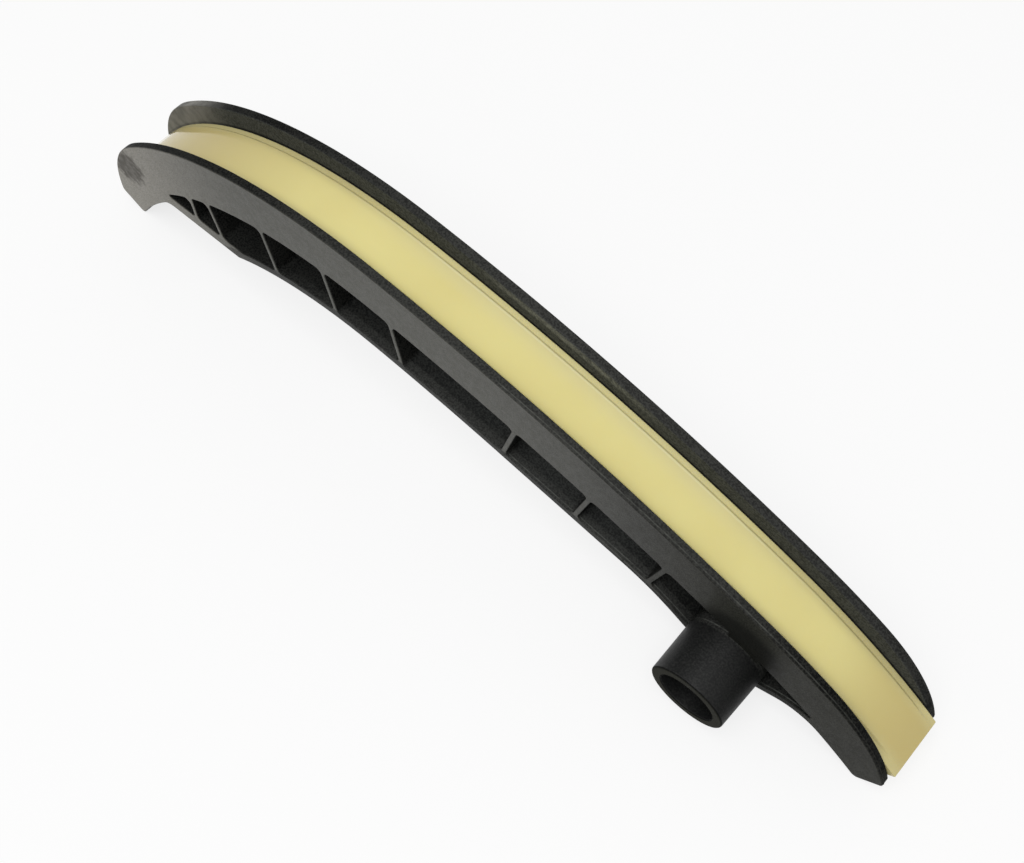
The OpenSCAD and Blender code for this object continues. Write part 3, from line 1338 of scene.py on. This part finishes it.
@dataclass(frozen=True)
class BlackNylon:
    """Finish of the carrier: black glass-filled nylon with a fine grain, a painted pale sheen, painted shade
    in a few places and a few scuffs.

    After the colours come the stretches along X or Y over which a layer grows to its full share, in mm.
    """

    line: ChainLine = field(default_factory=ChainLine)
    flanges: Flanges = field(default_factory=Flanges)
    dark: Colour = (0.0055, 0.0058, 0.0058, 1.0)
    light: Colour = (0.0200, 0.0205, 0.0185, 1.0)
    # Painted sheen: a pale tone on the side faces that grows towards the hooked end, also on the boss's end
    # face
    painted_side_sheen: Colour = (0.056, 0.0555, 0.041, 1.0)
    tip: Colour = (0.262, 0.245, 0.207, 1.0)
    # Dusted pocket floors, partly real and partly painted light that lifts the shade deeper in
    dust_and_painted_light: Colour = (0.080, 0.084, 0.081, 1.0)
    # Painted sheen on the flanges' inner walls
    painted_pale_sheen: Colour = (0.096, 0.101, 0.094, 1.0)
    # Paler tone on the tops towards the hooked end
    top_pale_tone: Colour = (0.074, 0.075, 0.070, 1.0)
    scuff: Colour = (0.035, 0.029, 0.018, 1.0)
    # Paler, blotchy tone on the far wall at the hooked end
    far_pale: Colour = (0.235, 0.230, 0.210, 1.0)
    # Paler tone of the line on the bead's crest and of the streak along the far wall's edge
    pale_line: Colour = (0.190, 0.196, 0.178, 1.0)
    edge: Colour = (0.030, 0.030, 0.028, 1.0)
    # Darkest tone: painted shade round the boss and in the joint line, and the boss wall's colour
    shade: Colour = (0.0042, 0.0045, 0.0045, 1.0)
    tip_x: Range = (-165.0, -245.0)
    dust_and_light_x: Range = (-170.0, -50.0)
    dust_and_light_end_x: Range = (-12.0, -45.0)
    top_x: Range = (-190.0, -100.0)
    near_top_x: Range = (30.0, -12.0)
    far_top_y: Range = (0.0, 9.0)
    far_pale_x: Range = (-197.0, -224.0)
    far_pale_y: Range = (8.5, 9.1)
    seam_x: Range = (-225.0, -180.0)
    crest_end_x: Range = (50.0, 20.0)
    streak_x: Range = (-108.0, -80.0)
    streak_end_x: Range = (-34.0, -62.0)
    streak_y: Range = (8.8, 9.2)
    streak_end_y: Range = (10.1, 9.5)
    matt_x: Range = (10.5, 5.5)
    scuff_place: Oval = Oval((-233.0, -12.0, 11.2), (16.0, 1.2, 10.0), -48.0)
    # Painted shade: darker places round the boss's root and by the thin wall to its right
    painted_shade_spots: tuple[Oval, ...] = (
        Oval((3.0, -12.0, 12.0), (17.5, 3.0, 17.5)),
        Oval((15.5, -12.0, -2.6), (12.0, 3.0, 5.0), -27.0),
    )
    # Least share of the painted sheen on the side faces
    least_sheen: float = 0.34
    seam_height: float = 0.15
    streak_height: float = 4.9
    roughness: Range = (0.43, 0.50)
    plain_gloss: float = 0.006
    boss_gloss: float = 0.19
    side_gloss: Range = (0.028, 0.30)

    def dirt_and_painted_light(self, kit: NodeKit, marks: Marks) -> list[Layer]:
        """Gives the layers over the black: painted side sheen, a paler tip, pocket floors dusted and lifted
        with painted light, painted wall sheen, paler tops, painted shade spots, a paler far wall and a
        painted shade line.

        Args:
            kit: the material that takes the nodes.
            marks: the carrier's masks.

        Returns:
            Layers from the lowest to the highest.
        """
        x, y = marks.x, marks.y
        clean = kit.span(marks.chord, (0.0, 1.0), (1.0, 0.15))
        # Painted sheen on the side faces, strongest towards the hooked end and faint on the chord
        side_sheen_share = kit.times(kit.most(marks.hooked, self.least_sheen), clean)
        # Share of the dusted pocket floors and their painted light, along X
        less_dust_and_light = kit.stretch(x, self.dust_and_light_end_x, (0.3, 1.0))
        dust_and_light_share = kit.times(kit.stretch(x, self.dust_and_light_x, (0.15, 1.0)), less_dust_and_light)
        seen_top = kit.most(kit.stretch(y, self.far_top_y), kit.stretch(x, self.near_top_x))
        painted_shade_share = kit.span(kit.most(*(kit.spot(oval) for oval in self.painted_shade_spots)), (0.0, 0.5), (0.0, 0.85))
        specked = (
            # Painted sheen on the side faces
            (marks.side, side_sheen_share, self.painted_side_sheen),
            (marks.side, kit.stretch(x, self.tip_x), self.tip),
            # Dusted pocket floors, lifted with painted light deeper in
            (marks.floor, dust_and_light_share, self.dust_and_painted_light),
            # Painted sheen on the inner walls
            (marks.wall, 0.8, self.painted_pale_sheen),
            # Paler tops towards the hooked end
            (marks.top, kit.times(kit.stretch(x, self.top_x, (0.0, 0.55)), seen_top), self.top_pale_tone),
            # Painted shade round the boss's root
            (marks.side, painted_shade_share, self.shade),
        )
        layers = [(kit.times(mask, share, marks.speck), tone) for mask, share, tone in specked]
        blotch = kit.span(kit.noise(230.0), (0.35, 0.65), (0.6, 1.0))
        # Paler, blotchy far wall at the hooked end
        far_end = kit.times(kit.stretch(y, self.far_pale_y), kit.stretch(x, self.far_pale_x))
        layers.append((kit.times(far_end, kit.math("SUBTRACT", 1.0, marks.outer), blotch), self.far_pale))
        # Painted shade line on the flange walls just above the lining, where the joint lies in shade
        seam = kit.times(
            kit.follow(self.line, self.seam_height, 0.6),
            kit.span(marks.outer, (0.0, 0.2), (0.75, 0.0)),
            kit.stretch(x, self.seam_x, (0.35, 1.0)),
        )
        layers.append((seam, self.shade))
        return layers

    def wear_and_painted_sheen(self, kit: NodeKit, marks: Marks) -> list[Layer]:
        """Gives worn edges, the scuff, a pale line on the bead's crest, the boss with part of the painted
        sheen on its end face, and a pale streak along the far wall's edge.

        Args:
            kit: the material that takes the nodes.
            marks: the carrier's masks.

        Returns:
            Layers from the lowest to the highest.
        """
        x, y, size = marks.x, marks.y, self.flanges
        edges = kit.times(kit.span(kit.edges(0.8), (0.80, 0.45), (0.0, 0.6)), marks.patchy)
        crest_y = size.outer_edge_r + 2.0 * size.bead_w - size.face
        # Paler line along the bead's crest
        crest = kit.times(
            kit.stretch(kit.off(y, crest_y), (0.24, 0.08), (0.0, 0.45)),
            kit.stretch(x, (size.bead_from, size.bead_from + size.bead_run)),
            kit.stretch(x, self.crest_end_x), marks.top, marks.patchy,
        )
        # The boss wall takes the darkest tone; its end face takes part of the painted sheen
        post = kit.blend(kit.span(marks.across, (0.5, 1.0), (0.0, 0.38)), self.shade, self.painted_side_sheen)
        # Paler streak along the far wall's edge
        streak = kit.times(
            kit.ring(self.line.mid_c, self.line.mid_r + self.streak_height, 1.6),
            kit.stretch(x, self.streak_x), kit.stretch(x, self.streak_end_x),
            kit.stretch(y, self.streak_y), kit.stretch(y, self.streak_end_y),
            kit.span(marks.mottle, (0.30, 0.62), (0.4, 1.0)), marks.speck,
        )
        return [
            (edges, self.edge),
            (marks.scuffed, self.scuff),
            (crest, self.pale_line),
            (kit.times(marks.boss, kit.span(marks.grain, NOISE, (1.0, 0.7))), post),
            (streak, self.pale_line),
        ]

    def colour(self, kit: NodeKit, marks: Marks) -> Socket:
        """Mixes the colour: grained black under the layers of marks, painted sheen and painted shade.

        Args:
            kit: the material that takes the nodes.
            marks: the carrier's masks.

        Returns:
            The colour's socket.
        """
        uneven = kit.math("ADD", kit.noise(90.0, 4.0), kit.span(marks.grain, NOISE, (-0.4, 0.4)))
        colour = kit.blend(kit.span(uneven, (0.2, 0.8)), self.dark, self.light)
        for share, tone in (*self.dirt_and_painted_light(kit, marks), *self.wear_and_painted_sheen(kit, marks)):
            colour = kit.blend(share, colour, tone)
        return colour

    def gloss(self, kit: NodeKit, marks: Marks) -> Socket:
        """Mixes the specular level: a sheen on the side faces and round the boss, hardly any elsewhere.

        Args:
            kit: the material that takes the nodes.
            marks: the carrier's masks.

        Returns:
            The level's socket.
        """
        sheen = kit.times(kit.span(marks.hooked, (0.0, 1.0), self.side_gloss), marks.side)
        side = kit.times(sheen, kit.span(marks.chord, (0.0, 1.0), (1.0, 0.3)))
        polished = kit.times(marks.boss, kit.stretch(marks.x, self.matt_x, (0.3, 1.0)))
        post = kit.times(polished, kit.span(marks.across, (0.3, 0.0), (0.0, self.boss_gloss)))
        level = kit.math("ADD", kit.most(side, post), self.plain_gloss)
        return kit.times(level, kit.span(marks.scuffed, (0.0, 0.8), (1.0, 0.55)))

    def make(self) -> bpy.types.Material:
        """Makes the material.

        Returns:
            The finished material.
        """
        kit = NodeKit("black_nylon")
        marks = Marks.find(kit, self.line, self.flanges, self.scuff_place)
        kit.put("Base Color", self.colour(kit, marks))
        kit.put("Roughness", kit.span(marks.mottle, NOISE, self.roughness))
        kit.put("Specular IOR Level", self.gloss(kit, marks))
        kit.bump(marks.grain, 0.6, 0.08)
        return kit.material


@dataclass(frozen=True)
class CreamNylon:
    """Finish of the lining: natural nylon, satin, with faint marks along the chain's way, painted shade at
    both ends and by the flanges, and a painted sheen and highlight line on the far half.

    After the colours come the stretches along X or across the lining over which they grow, in mm.
    """

    base: Colour = (0.80, 0.72, 0.31, 1.0)
    deep: Colour = (0.76, 0.67, 0.28, 1.0)
    # Painted shade: the lining darker towards both ends
    end: Colour = (0.56, 0.46, 0.19, 1.0)
    # Painted shade along the flanges
    strip: Colour = (0.59, 0.52, 0.25, 1.0)
    # Painted sheen over the far half of the lining
    painted_pale_sheen: Colour = (0.76, 0.69, 0.37, 1.0)
    # Painted highlight line along the land's far edge
    rim: Colour = (0.88, 0.83, 0.52, 1.0)
    pivot_end_x: Range = (15.0, 50.0)
    hook_end_x: Range = (-135.0, -215.0)
    middle_x: Range = (-160.0, -100.0)
    middle_end_x: Range = (30.0, -30.0)
    # Stretch across the lining over which the painted sheen grows
    sheen_y: Range = (1.0, 6.6)
    # Distances from the middle over which the painted shade along the flanges grows
    strip_shade_away: Range = (4.2, 8.6)
    # Place of the painted highlight line, across the lining
    rim_y: float = 6.6
    polish_x: Range = (-180.0, -212.0)
    roughness: Range = (0.21, 0.27)
    gloss: float = 0.12
    glow_through: float = 0.15
    glow_colour: tuple[float, float, float] = (1.0, 0.8, 0.4)
    glow_depth: float = 2.0

    def make(self) -> bpy.types.Material:
        """Makes the material: an uneven cream with painted shade at the ends and by the flanges, a painted
        sheen and highlight line on the far half, and lengthwise streaks.

        Returns:
            The finished material.
        """
        kit = NodeKit("cream_nylon")
        x, y = kit.axis(kit.place, "X"), kit.axis(kit.place, "Y")
        cloud, streak = kit.noise(25.0), kit.noise(900.0, 2.0, (0.04, 1.0, 0.3))
        # Painted shade at both ends of the lining
        ends = kit.most(kit.stretch(x, self.pivot_end_x), kit.stretch(x, self.hook_end_x))
        middle = kit.times(kit.stretch(x, self.middle_x), kit.stretch(x, self.middle_end_x))
        # Painted sheen over the far half of the lining, in the middle stretch
        far_sheen_share = kit.times(kit.stretch(y, self.sheen_y, (0.0, 0.6)), middle)
        faint = kit.span(middle, (0.0, 1.0), (1.0, 0.1))
        # Painted shade along both flanges, faint in the middle stretch
        flange_shade_share = kit.times(kit.stretch(kit.off(y, 0.0), self.strip_shade_away), faint)
        # Painted highlight line along the land's far edge
        rim = kit.times(kit.stretch(kit.off(y, self.rim_y), (0.5, 0.1), (0.0, 0.45)), middle)
        colour = kit.blend(kit.span(cloud, NOISE), self.base, self.deep)
        for share, tone in ((ends, self.end), (far_sheen_share, self.painted_pale_sheen), (flange_shade_share, self.strip), (rim, self.rim)):
            colour = kit.blend(share, colour, tone)
        satin = kit.times(kit.span(streak, NOISE, self.roughness), kit.stretch(x, self.polish_x, (1.0, 0.3)))
        kit.put("Base Color", colour)
        kit.put("Roughness", satin)
        kit.put("Specular IOR Level", self.gloss)
        kit.put("Subsurface Weight", self.glow_through)
        kit.put("Subsurface Radius", self.glow_colour)
        kit.put("Subsurface Scale", self.glow_depth * MM)
        kit.bump(streak, 0.03, 0.02)
        return kit.material


def wire(tree: bpy.types.NodeTree, *pairs: tuple[Socket, Socket]) -> None:
    """Links an output to an input for each pair."""
    for source, target in pairs:
        tree.links.new(source, target)


@dataclass
class Studio:
    """Floor, light and camera. The camera is given in mm and pixels, floor and lamp in metres."""

    floor_z: float = -14.3
    floor_half: float = 2.5
    floor_tone: Colour = (0.92, 0.92, 0.92, 1.0)
    floor_glow: Range = (0.78, 1.0)
    glow_reach: Range = (0.3, 1.1)
    sky: float = 0.52
    key_from: tuple[float, float, float] = (0.0, -0.35, 1.15)
    key_aim: tuple[float, float, float] = (-0.1, 0.0, 0.0)
    key_size: float = 0.9
    key_power: float = 8.0
    view_from: tuple[float, float, float] = (35.96, -117.79, 315.94)
    view_right: tuple[float, float, float] = (0.74645, 0.66448, -0.03581)
    view_down: tuple[float, float, float] = (0.57446, -0.67061, -0.46934)
    focal_px: float = 1264.0
    picture_w: float = 1024.0
    sensor_w: float = 36.0

    def seen(self, tree: bpy.types.NodeTree) -> Socket:
        """Adds a value that is 1 for camera, glossy and transmission rays and 0 for all others.

        Args:
            tree: node tree of a material or the world.

        Returns:
            The value's socket.
        """
        path = tree.nodes.new("ShaderNodeLightPath")
        glossy, clear = tree.nodes.new("ShaderNodeMath"), tree.nodes.new("ShaderNodeMath")
        glossy.operation = clear.operation = "MAXIMUM"
        wire(
            tree,
            (path.outputs["Is Camera Ray"], glossy.inputs[0]),
            (path.outputs["Is Glossy Ray"], glossy.inputs[1]),
            (glossy.outputs["Value"], clear.inputs[0]),
            (path.outputs["Is Transmission Ray"], clear.inputs[1]),
        )
        return clear.outputs["Value"]

    def floor_finish(self) -> bpy.types.Material:
        """Makes the floor's material: a pale diffuse, mixed with a glow that grows with the distance.

        Returns:
            The finished material.
        """
        material = bpy.data.materials.new("pale_floor")
        material.use_nodes = True
        tree = material.node_tree
        tree.nodes.clear()
        diffuse, glow, mix, out, place, far, share, white = (
            tree.nodes.new(f"ShaderNode{kind}") for kind in (
                "BsdfDiffuse", "Emission", "MixShader", "OutputMaterial",
                "TexCoord", "VectorMath", "MapRange", "Math"))
        diffuse.inputs["Color"].default_value = self.floor_tone
        far.operation = "LENGTH"
        share.interpolation_type = "SMOOTHSTEP"
        white.operation = "MULTIPLY"
        limits = ("From Min", "From Max", "To Min", "To Max")
        for name, number in zip(limits, (*self.glow_reach, *self.floor_glow)):
            share.inputs[name].default_value = number
        wire(
            tree,
            (place.outputs["Object"], far.inputs[0]),
            (far.outputs["Value"], share.inputs["Value"]),
            (self.seen(tree), white.inputs[0]),
            (share.outputs["Result"], white.inputs[1]),
            (white.outputs["Value"], mix.inputs["Fac"]),
            (diffuse.outputs["BSDF"], mix.inputs[1]),
            (glow.outputs["Emission"], mix.inputs[2]),
            (mix.outputs["Shader"], out.inputs["Surface"]),
        )
        return material

    def floor(self) -> None:
        """Builds the pale floor, a flat grid that looks white and keeps a soft shadow."""
        edge = np.linspace(-self.floor_half, self.floor_half, 9) / MM
        grid = np.stack(np.meshgrid(edge, edge, [self.floor_z], indexing="ij"), axis=-1)[:, :, 0]
        shell = Shell()
        shell.patch(grid)
        made = shell.to_object("studio_floor")
        made.data.materials.append(self.floor_finish())

    def lamp(self) -> None:
        """Adds the key light, a square area lamp."""
        data = bpy.data.lights.new("key", "AREA")
        data.size, data.energy = self.key_size, self.key_power
        lamp = bpy.data.objects.new("key", data)
        lamp.location = self.key_from
        way = Vector(self.key_aim) - Vector(self.key_from)
        lamp.rotation_euler = way.to_track_quat("-Z", "Y").to_euler()
        bpy.context.scene.collection.objects.link(lamp)

    def world(self) -> None:
        """Sets the world: an even light that looks white wherever it is seen."""
        world = bpy.data.worlds.new("studio")
        bpy.context.scene.world = world
        world.use_nodes = True
        tree = world.node_tree
        light, white = tree.nodes["Background"], tree.nodes.new("ShaderNodeBackground")
        mix = tree.nodes.new("ShaderNodeMixShader")
        light.inputs["Color"].default_value = white.inputs["Color"].default_value = (1.0, 1.0, 1.0, 1.0)
        light.inputs["Strength"].default_value = self.sky
        wire(
            tree,
            (self.seen(tree), mix.inputs["Fac"]),
            (light.outputs["Background"], mix.inputs[1]),
            (white.outputs["Background"], mix.inputs[2]),
            (mix.outputs["Shader"], tree.nodes["World Output"].inputs["Surface"]),
        )

    def camera(self) -> None:
        """Sets the camera from its place and axes."""
        right, down = Vector(self.view_right).normalized(), Vector(self.view_down)
        down = (down - right * down.dot(right)).normalized()
        axes = Matrix((right, -down, -right.cross(down))).transposed()
        data = bpy.data.cameras.new("view")
        data.sensor_width, data.sensor_fit = self.sensor_w, "HORIZONTAL"
        data.lens = self.focal_px / self.picture_w * self.sensor_w
        data.clip_start, data.clip_end = 0.01, 20.0
        eye = bpy.data.objects.new("view", data)
        eye.matrix_world = Matrix.Translation(Vector(self.view_from) * MM) @ axes.to_4x4()
        bpy.context.scene.collection.objects.link(eye)
        bpy.context.scene.camera = eye

    def build(self) -> None:
        """Builds the whole studio."""
        self.camera()
        self.floor()
        self.world()
        self.lamp()
        bpy.context.scene.view_settings.view_transform = "Standard"


def seat_piece(made: Body, node: str, finish: bpy.types.Material) -> None:
    """Puts a finished piece on the frame in place of a CAD node.

    Args:
        made: the piece.
        node: name of the node it stands for.
        finish: its material.
    """
    made.data.materials.clear()
    made.data.materials.append(finish)
    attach(made, "root")
    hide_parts(node)
    LOG.info("%s: %d faces stand for %s", made.name, len(made.data.polygons), node)


def main() -> None:
    """Builds the studio, the carrier and the lining."""
    logging.basicConfig(level=logging.INFO, format="%(asctime)s %(message)s")
    Studio().build()
    carrier = Carrier()
    carrier.dress()
    Liner(carrier).dress()


if __name__ == "__main__":
    main()
